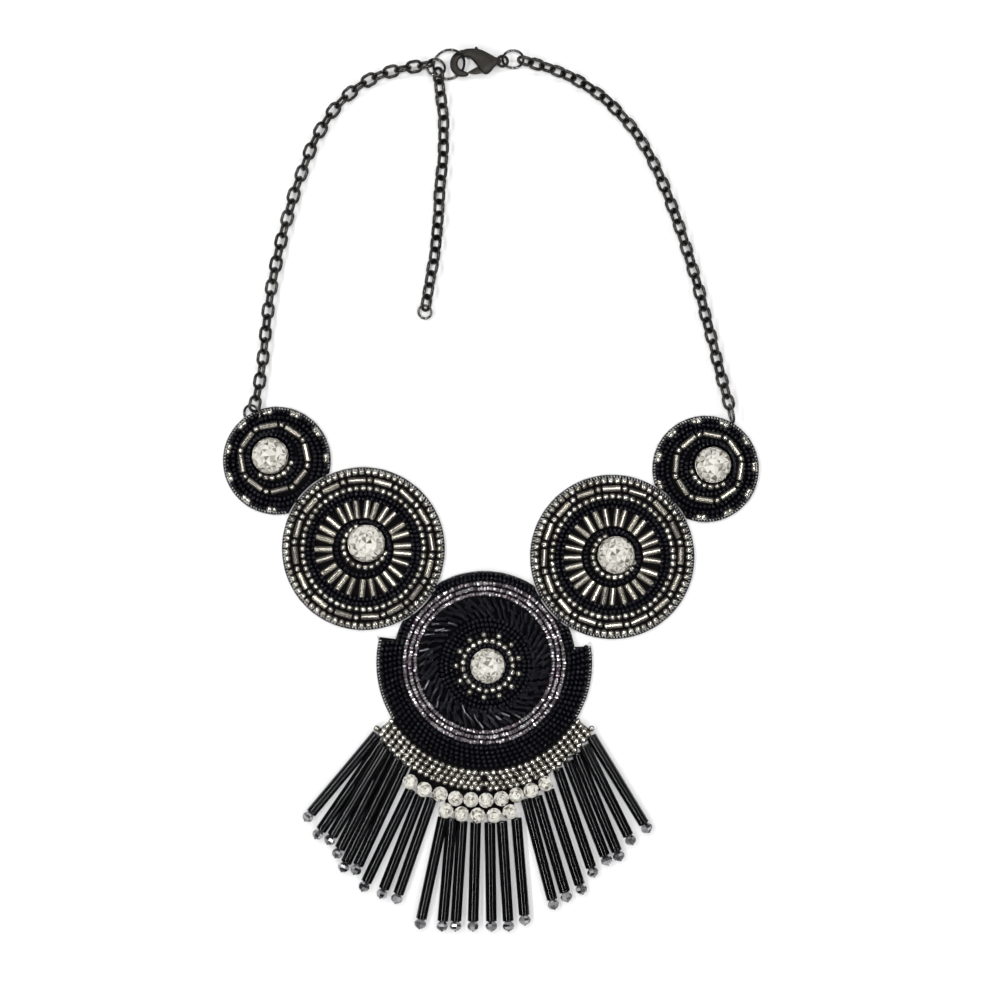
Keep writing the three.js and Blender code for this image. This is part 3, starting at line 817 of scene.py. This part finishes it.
def brilliant(name, radius, levels, sides=16):
    """A closed cut stone about the Z axis. Faces below the girdle take the second material."""
    culet, girdle, girdle_top, table = levels
    depth, crown_height = girdle - culet, table - girdle_top
    full_cut = sides > RHINESTONE_SIDES
    half = sides // 2
    rings = [  # radius share, height, number of points, turn in steps of the girdle
        (0.60, table, half, 0), (0.80, girdle_top + crown_height * 0.54, half, 1), (1.0, girdle_top, sides, 0),
        (1.0, girdle, sides, 0), (0.78, girdle - depth * 0.36, sides, 0.5), (0.5, culet + depth * 0.3, sides, 0),
    ]
    bm = bmesh.new()
    bm.verts.new((0, 0, culet))
    for share, height, count, turn in rings:
        for index in range(count):
            angle = math.tau * (index / count + turn / sides)
            uneven = depth * chance.uniform(-0.035, 0.035) * (share < 0.75 and height < girdle)
            bm.verts.new((radius * share * math.cos(angle), radius * share * math.sin(angle), height + uneven))
    bmesh.ops.convex_hull(bm, input=bm.verts[:])
    bmesh.ops.dissolve_limit(bm, angle_limit=math.radians(1), verts=bm.verts[:], edges=bm.edges[:])
    bm.normal_update()
    top = [face for face in bm.faces if face.normal.z > 0.99]
    bmesh.ops.inset_individual(bm, faces=top, thickness=radius * 0.24)
    crown = [face for face in bm.faces if face.calc_center_median().z > girdle_top]
    bmesh.ops.poke(bm, faces=crown if full_cut else top)
    if not full_cut:
        bmesh.ops.triangulate(bm, faces=[face for face in bm.faces if len(face.verts) > 3])
    mesh = to_mesh(name, bm, smooth=False)
    for face in mesh.polygons:
        face.material_index = int(face.center.z < girdle)
    return mesh


def claw_template(radius):
    """One prong: a small bar against the cup, narrowed and bent over the stone at its top."""
    bm = bmesh.new()
    bmesh.ops.create_cube(bm, size=1)
    bmesh.ops.scale(bm, verts=bm.verts[:], vec=(0.34, 1.0, 1.5))
    for vert in bm.verts:
        if vert.co.z > 0:
            vert.co.x -= CLAW_BEND
            vert.co.y *= CLAW_TAPER
    bmesh.ops.translate(bm, verts=bm.verts[:], vec=(radius + 0.24, 0, CLAW_MIDDLE))
    bmesh.ops.bevel(bm, geom=bm.edges[:], offset=0.09, segments=2, profile=0.5, affect="EDGES", material=-1)
    return to_mesh("claw", bm)


def claw_cup(name, radius, claws=4):
    """A turned cup that holds the stone to its girdle, with claws bent over the rim."""
    rim = [
        (1.42, 0), (1.42, radius * 0.55), (3.3, radius * 0.96), (3.75, radius + 0.32), (4.15, radius + 0.34),
        (4.15, radius + 0.1), (3.6, radius * 0.93), (1.7, radius * 0.4), (1.7, 0),
    ]
    cup = turned(name, rim, 32, closed=False)
    cup.transform(Matrix.Rotation(-math.pi / 2, 4, "Y"))
    bm = bmesh.new()
    bm.from_mesh(cup)
    for index in range(claws):
        claw = claw_template(radius)
        claw.transform(Matrix.Rotation(math.tau * (index + 0.5) / claws, 4, "Z"))
        bm.from_mesh(claw)
    return to_mesh(name, bm)


for disc, entry in DISCS.items():
    x, y = entry["stone"]
    at = Matrix.Translation((x, y, 0)) @ Matrix.Rotation(chance.uniform(0, 0.3), 4, "Z")
    stone = brilliant(f"stone_{disc}", entry["stone_radius"], STONE_LEVELS)
    stone.transform(at)
    # Painted glints and painted dark reflections: each facet is given a light or dark colour at random.
    paint_facet_glints(stone)
    add_piece(f"stone_{disc}", stone, [crystal, foil], [f"crystal_{disc}"])
    cup = claw_cup(f"cup_{disc}", entry["stone_radius"])
    cup.transform(at)
    add_piece(f"cup_{disc}", cup, cup_metal, [f"setting_{disc}"])

# %% [markdown]
# The rhinestones are the same kind of stone, smaller and with fewer facets. Each sits in a plain turned
# cup, and the cups stand nearly edge to edge, as they do when they are cut from cup chain.

# %% Rhinestone rows
RHINESTONE_RADIUS = 2.14
RHINESTONE_LEVELS = (1.9, 3.1, 3.25, 4.0)
ROWS = {
    "upper": [
        (-22.6, -81.1), (-18.7, -83.2), (-14.2, -84.6), (-9.9, -85.7), (-5.6, -86.2),
        (-1.4, -86.2), (2.9, -85.8), (7.1, -84.9), (11.3, -83.6), (15.3, -81.7),
    ],
    "lower": [(-12.6, -89.3), (-8.2, -90.2), (-3.7, -90.6), (0.8, -90.5), (5.3, -89.5)],
}
small_stone = brilliant("small_stone", RHINESTONE_RADIUS, RHINESTONE_LEVELS, RHINESTONE_SIDES)
cup_outline = [
    (1.42, 0), (1.42, 1.3), (2.6, 1.9), (3.05, 2.06), (3.2, 2.06), (3.2, 1.9), (2.7, 1.7), (1.7, 1.0), (1.7, 0),
]
small_cup = turned("small_cup", cup_outline, 20, closed=False)
small_cup.transform(Matrix.Rotation(-math.pi / 2, 4, "Y"))
for row_name, centres in ROWS.items():
    spots = [place(x, y, 0, chance.uniform(0, 45), roll=chance.uniform(-3, 3)) for x, y in centres]
    # Each rhinestone facet is painted light or dark at random: painted glints and painted dark reflections.
    stones = repeat("rhinestones", small_stone, spots, painted_facets=True)
    add_piece(f"rhinestone_row_{row_name}", stones, [crystal, foil], [f"rhinestones_{row_name}"])
    cups = repeat("cups", small_cup, [place(x, y, 0) for x, y in centres])
    add_piece(f"rhinestone_cups_{row_name}", cups, cup_metal)

# %% [markdown]
# Each fringe strand is one long black glass tube with a faceted smoky bead below it, tied off in a small
# knot, all on one thread. The tube is turned with a real bore and runs up until it meets the edge of the
# beads or a stone.

# %% Fringe
BUGLE_RADIUS = 1.53
BUGLE_BORE = 0.5
TUBE_TEMPLATE = 28.0
EDGE_OF_BEADS = 35.7  # from the middle disc's centre
STONE_EDGE = 2.05  # from a rhinestone's centre
END_RADIUS = 1.7
END_REACH = 2.4
STRANDS = [  # lower end x and y, lean in degrees, length, height of the upper end
    (-50.3, -90.0, 39.9, 27.6, 1.5), (-47.6, -94.8, 34.6, 27.6, 1.5), (-44.4, -96.3, 31.0, 27.6, 3.7),
    (-42.3, -100.0, 27.2, 27.9, 1.5), (-40.6, -103.9, 26.4, 27.9, 1.5), (-37.2, -104.6, 25.0, 27.9, 1.5),
    (-34.9, -109.3, 25.6, 27.6, 1.5), (-30.0, -111.2, 21.4, 27.6, 1.5), (-25.9, -112.6, 19.3, 27.4, 1.5),
    (-19.5, -119.6, 12.1, 27.6, 1.5), (-13.5, -120.2, 5.0, 27.3, 1.5), (-9.8, -120.2, 3.6, 27.3, 1.5),
    (-5.0, -120.2, 1.5, 27.2, 1.5), (0.1, -120.2, -0.9, 27.2, 1.5), (4.8, -120.2, -3.6, 27.3, 1.5),
    (9.3, -118.5, -4.7, 26.6, 1.5), (17.1, -114.2, -14.7, 27.4, 1.5), (20.7, -112.1, -16.4, 26.8, 1.5),
    (24.8, -110.0, -18.0, 27.4, 1.5), (28.0, -105.2, -18.8, 27.6, 1.5), (31.8, -101.9, -21.3, 27.4, 1.5),
    (35.2, -100.7, -22.3, 27.9, 1.5), (38.4, -96.3, -26.2, 27.4, 2.6), (42.8, -93.0, -31.3, 27.6, 1.5),
]


def strand_frame(foot_x, foot_y, lean, length, top_z):
    """The strand's own frame: X runs from the tube's lower end to its upper end."""
    rise = (top_z - END_RADIUS) / length
    foot_z = END_RADIUS + 0.05 + max(0, rise * END_REACH)
    return place(foot_x, foot_y, foot_z, 90 - lean, lift=math.degrees(math.atan(rise)))


def reach_up(foot_x, foot_y, lean, length):
    """The tube's full length, up to the edge beads or to the stone that its end tucks against."""
    stones = [stone for centres in ROWS.values() for stone in centres]
    middle = DISCS["centre"]["centre"]
    toward = Vector((math.sin(math.radians(lean)), math.cos(math.radians(lean))))
    across = Vector((toward.y, -toward.x)) * BUGLE_RADIUS * 0.8
    while length < 36:
        tip = Vector((foot_x, foot_y)) + toward * length
        corners = (tip - across, tip, tip + across)
        if any(math.dist(corner, middle) < EDGE_OF_BEADS for corner in corners):
            break
        if any(math.dist(corner, stone) < STONE_EDGE for corner in corners for stone in stones):
            break
        length += 0.1
    return length


def end_bead_template():
    """A round bead cut with flat facets."""
    outline = [(-2.62, 0.3), (-2.6, 0.8), (-2.1, 1.42), (-1.4, 1.68), (-0.7, 1.42), (-0.12, 0.8), (-0.08, 0.3)]
    return turned("end_bead", outline, 8, smooth=False)


strand_frames = [strand_frame(*strand) for strand in STRANDS]
lengths = [reach_up(*strand[:4]) for strand in STRANDS]
tube_places = [
    spot @ Matrix.Diagonal((length / TUBE_TEMPLATE, 1, 1, 1)) for spot, length in zip(strand_frames, lengths)
]
outline = tube_outline(TUBE_TEMPLATE, BUGLE_RADIUS, 0.18, BUGLE_BORE / BUGLE_RADIUS)
tube = turned("tube", [(along + TUBE_TEMPLATE / 2, out) for along, out in outline], 32)
tubes = repeat("tubes", tube, tube_places)
print("tube lengths, mm:", [round(length, 1) for length in lengths])
names = [f"strand_{index + 1:02d}" for index in range(len(STRANDS))]
add_piece("fringe_tubes", tubes, tube_glass, names)
rolled = [spot @ place(0, 0, 0, roll=chance.uniform(0, 45)) for spot in strand_frames]
# The end beads' facets are painted pale or dark at random: painted glints on dark smoky glass.
end_beads = repeat("end_beads", end_bead_template(), rolled, painted_facets=True)
add_piece("fringe_end_beads", end_beads, smoke)
knot = turned("knot", [(-0.3, 0), (-0.22, 0.2), (0, 0.3), (0.22, 0.2), (0.3, 0)], 8, closed=False)
tied = [spot @ place(-2.7, 0, 0, roll=chance.uniform(0, 90)) for spot in strand_frames]
knots = repeat("knots", knot, tied)
add_piece("fringe_knots", knots, dark_thread)

# %% [markdown]
# The chain is a cable chain: oval links of round wire, each turned a quarter about the chain from the one
# before, so that every link holds the next. One link is a small circle spun into a ring whose ends are
# drawn apart. The links follow a smooth curve through the route's points, spaced by the chain's pitch.

# %% Chains
LINK_WIRE = 0.47
LINK_HALF_WIDTH = 1.56
LINK_STEPS = 16
CHAIN_HEIGHT = 1.9
CHAINS = {
    "chain_left": (36, (31, -60), [
        (-65.9, 24.35, 2.8), (-64.6, 31.0), (-63.7, 37.5), (-63.0, 44.4), (-62.2, 51.3), (-61.2, 57.9),
        (-59.9, 64.4), (-58.4, 71.0), (-56.6, 77.5), (-54.8, 83.8), (-52.5, 90.0), (-50.0, 96.5), (-46.8, 102.3),
        (-43.3, 107.3), (-38.4, 112.0), (-33.0, 115.4), (-26.6, 117.6), (-18.2, 119.1, 2.26),
    ]),
    "chain_right": (38, (60, -31), [
        (9.62, 120.12, 2.35), (16.8, 118.0), (23.0, 115.4), (28.0, 112.3), (31.8, 109.6), (36.2, 105.2),
        (40.0, 100.8), (42.6, 96.8), (45.4, 91.7), (48.2, 85.6), (51.4, 77.3), (53.8, 70.3), (56.0, 63.2),
        (58.0, 56.6), (60.3, 47.6), (62.2, 40.6), (63.8, 34.0), (66.3, 24.9, 2.55),
    ]),
    "extender_chain": (20, (40, -47), [
        (-14.7, 116.0, 2.34), (-14.0, 110.0), (-13.3, 104.5), (-13.3, 98.5), (-13.4, 93.6), (-13.9, 88.6),
        (-14.4, 83.5), (-14.6, 78.3), (-15.1, 72.4), (-15.8, 65.7), (-16.8, 60.2), (-18.1, 52.65, 1.6),
    ]),
}


def smooth_route(points, per_span=40):
    """A dense Catmull-Rom curve through the route's points."""
    fixed = np.array([(*point, CHAIN_HEIGHT)[:3] for point in points])
    ends = np.vstack([2 * fixed[0] - fixed[1], fixed, 2 * fixed[-1] - fixed[-2]])
    dense = []
    for index in range(len(fixed) - 1):
        a, b, c, d = ends[index:index + 4]
        dense += [curve_point(a, b, c, d, step / per_span) for step in range(per_span)]
    dense.append(fixed[-1])
    return np.array(dense)


def link_mesh(pitch):
    bm = bmesh.new()
    wire = section(bm, 8, LINK_WIRE, "X", (LINK_HALF_WIDTH, 0, 0))
    bmesh.ops.rotate(bm, verts=wire, cent=(0, 0, 0), matrix=Matrix.Rotation(math.pi / LINK_STEPS, 3, "Z"))
    bmesh.ops.spin(
        bm, geom=wire + bm.edges[:], axis=(0, 0, 1), cent=(0, 0, 0), angle=math.tau, steps=LINK_STEPS,
        use_merge=True,
    )
    drawn = (pitch + 2 * LINK_WIRE) / 2 - LINK_HALF_WIDTH
    for vert in bm.verts:
        vert.co.x += math.copysign(drawn, vert.co.x)
    return to_mesh("link", bm)


for name, (count, rolls, points) in CHAINS.items():
    dense = smooth_route(points)
    walked = np.concatenate([[0], np.cumsum(np.linalg.norm(np.diff(dense, axis=0), axis=1))])
    pitch = walked[-1] / (count - 1)
    spots = []
    for index in range(count):
        before, here, after = (
            np.array([np.interp(index * pitch + off, walked, dense[:, axis]) for axis in range(3)])
            for off in (-0.05, 0, 0.05)
        )
        along = Vector(after - before).normalized()
        spots.append(place(
            *here, math.degrees(math.atan2(along.y, along.x)), lift=math.degrees(math.asin(along.z)),
            roll=rolls[index % 2] + chance.uniform(-4, 4) * (0 < index < count - 1),
        ))
    add_piece(f"links_{name}", repeat("links", link_mesh(pitch), spots), gunmetal, [name])
    print(name, "pitch", round(pitch, 3))

# %% [markdown]
# Jump rings are rings of round wire with a hairline seam where the two ends meet: a small circle is spun
# almost all the way round and closed with two flat ends.

# %% Jump rings
RINGS = [  # name, centre, radius, wire radius, turn and tilt of its plane in degrees
    ("ring_left", (-66.8, 21.45, 1.9), 2.6, 0.38, 27, 34),
    ("ring_right", (67.05, 21.65, 2.9), 2.45, 0.38, 13, 81),
    ("ring_extender_end", (-18.5, 50.1, 1.2), 1.85, 0.36, 58, 20),
    ("ring_clasp", (6.15, 120.6, 2.45), 2.92, 0.36, 90, 42),
    ("ring_large", (-11.75, 119.1, 2.85), 4.4, 0.38, 113.5, 34),
    ("ring_connector", (-15.4, 118.4, 2.15), 2.57, 0.36, -124, 25),
]
SEAM = math.radians(1.5)
for name, centre, radius, wire, turn, tilt in RINGS:
    bm = bmesh.new()
    section(bm, 12, wire, "X", (radius, 0, 0), capped=True)
    bmesh.ops.spin(
        bm, geom=bm.faces[:], axis=(0, 0, 1), cent=(0, 0, 0), angle=math.tau - SEAM, steps=48, use_merge=False
    )
    mesh = to_mesh(name, bm)
    mesh.transform(
        Matrix.Translation(centre) @ Matrix.Rotation(math.radians(turn), 4, "Z")
        @ Matrix.Rotation(-math.radians(tilt), 4, "Y")
    )
    add_piece(f"wire_{name}", mesh, ring_wire, [name])

# %% [markdown]
# A lobster clasp is cast: a flat shell of two cheeks, a curved hook, and a tail eye. A lever turns between
# the cheeks: one arm closes the hook and the other ends in the thumb tab. Each part is drawn as an outline,
# rounded through its points, given a thickness, and broken along its edges with a bevel. The lever rides on
# its own body, so it opens with the frame's joint.

# %% Lobster clasp
CLASP_HEIGHT = 2.1
TAIL = {"x": 3.2, "y": 120.1, "hole": 1.05, "outer": 1.8, "half": 0.55}
HOOK = [
    (-6.4, 116.15), (-6.45, 116.9), (-7.9, 117.5), (-8.95, 118.3), (-9.35, 119.5), (-8.9, 120.7), (-7.6, 121.25),
    (-5.4, 121.0), (-4.8, 122.4), (-6.6, 123.35), (-9.0, 122.95), (-10.75, 121.6), (-11.45, 119.6),
    (-11.05, 117.6), (-9.7, 116.15), (-7.9, 115.75),
]
SHELL = [
    (-7.6, 121.3), (-6.4, 121.2), (-5.3, 120.6), (-4.2, 119.4), (-3.3, 118.0), (-2.5, 116.95), (-1.3, 116.6),
    (-0.2, 117.2), (0.9, 118.5), (2.0, 119.4), (2.0, 120.8), (1.0, 121.2), (-0.9, 122.3), (-2.9, 123.2),
    (-4.9, 123.5), (-7.2, 123.3), (-8.2, 122.4),
]
ROOT = [(-7.6, 121.4), (-5.5, 120.9), (-5.2, 122.0), (-5.6, 123.3), (-7.2, 123.2), (-8.0, 122.4)]
NECK = [(0.3, 118.2), (0.95, 118.7), (2.6, 119.5), (2.6, 120.7), (1.0, 121.1), (0.3, 121.5)]
LEVER = [
    (-6.3, 116.75), (-6.2, 117.2), (-4.8, 118.0), (-3.5, 118.7), (-3.1, 119.6), (-4.0, 122.4), (-4.55, 123.8),
    (-4.0, 124.1), (-3.4, 123.2), (-1.9, 119.6), (-1.1, 118.5), (-1.2, 117.3), (-2.3, 116.95), (-4.3, 116.5),
]


def rounded(outline, per_span=4):
    """The outline's points with a smooth closed curve drawn through them."""
    points = np.array(outline)
    dense = []
    for index in range(len(points)):
        a, b, c, d = (points[(index + step) % len(points)] for step in (-1, 0, 1, 2))
        dense += [curve_point(a, b, c, d, step / per_span) for step in range(per_span)]
    return dense


def cast_plate(bm, outline, low, high, softness):
    """Adds a plate between two heights about the clasp's plane, with its edges broken."""
    made = bmesh.new()
    corners = [made.verts.new((x, y, CLASP_HEIGHT + low)) for x, y in rounded(outline)]
    made.faces.new(corners)
    thicken(made, high - low, softness)
    part = to_mesh("plate", made)
    bm.from_mesh(part)
    bpy.data.meshes.remove(part)


shell = bmesh.new()
cast_plate(shell, HOOK, -0.64, 0.64, 0.42)
cast_plate(shell, SHELL, 0.72, 1.6, 0.34)
cast_plate(shell, SHELL, -1.6, -0.72, 0.34)
cast_plate(shell, ROOT, -1.2, 1.2, 0.1)
cast_plate(shell, NECK, -1.2, 1.2, 0.1)
eye_outline = [
    (side * TAIL["half"] * share, out)
    for side, share, out in (
        (-1, 0.5, TAIL["hole"]), (-1, 1, TAIL["outer"] - 0.35), (-1, 0.5, TAIL["outer"]),
        (1, 0.5, TAIL["outer"]), (1, 1, TAIL["outer"] - 0.35), (1, 0.5, TAIL["hole"]),
    )
]
eye = turned("eye", eye_outline, 24)
eye.transform(Matrix.Translation((TAIL["x"], TAIL["y"], CLASP_HEIGHT)) @ Matrix.Rotation(math.pi / 2, 4, "Y"))
shell.from_mesh(eye)
add_piece("clasp_shell", to_mesh("clasp_shell", shell, merge=1e-6), satin_plate, ["clasp_body"])

gate = bmesh.new()
cast_plate(gate, LEVER, -0.5, 0.5, 0.2)
gate_mesh = to_mesh("clasp_gate", gate, merge=1e-6)
add_piece("clasp_gate", gate_mesh, satin_plate, ["clasp_lever"], "lever")
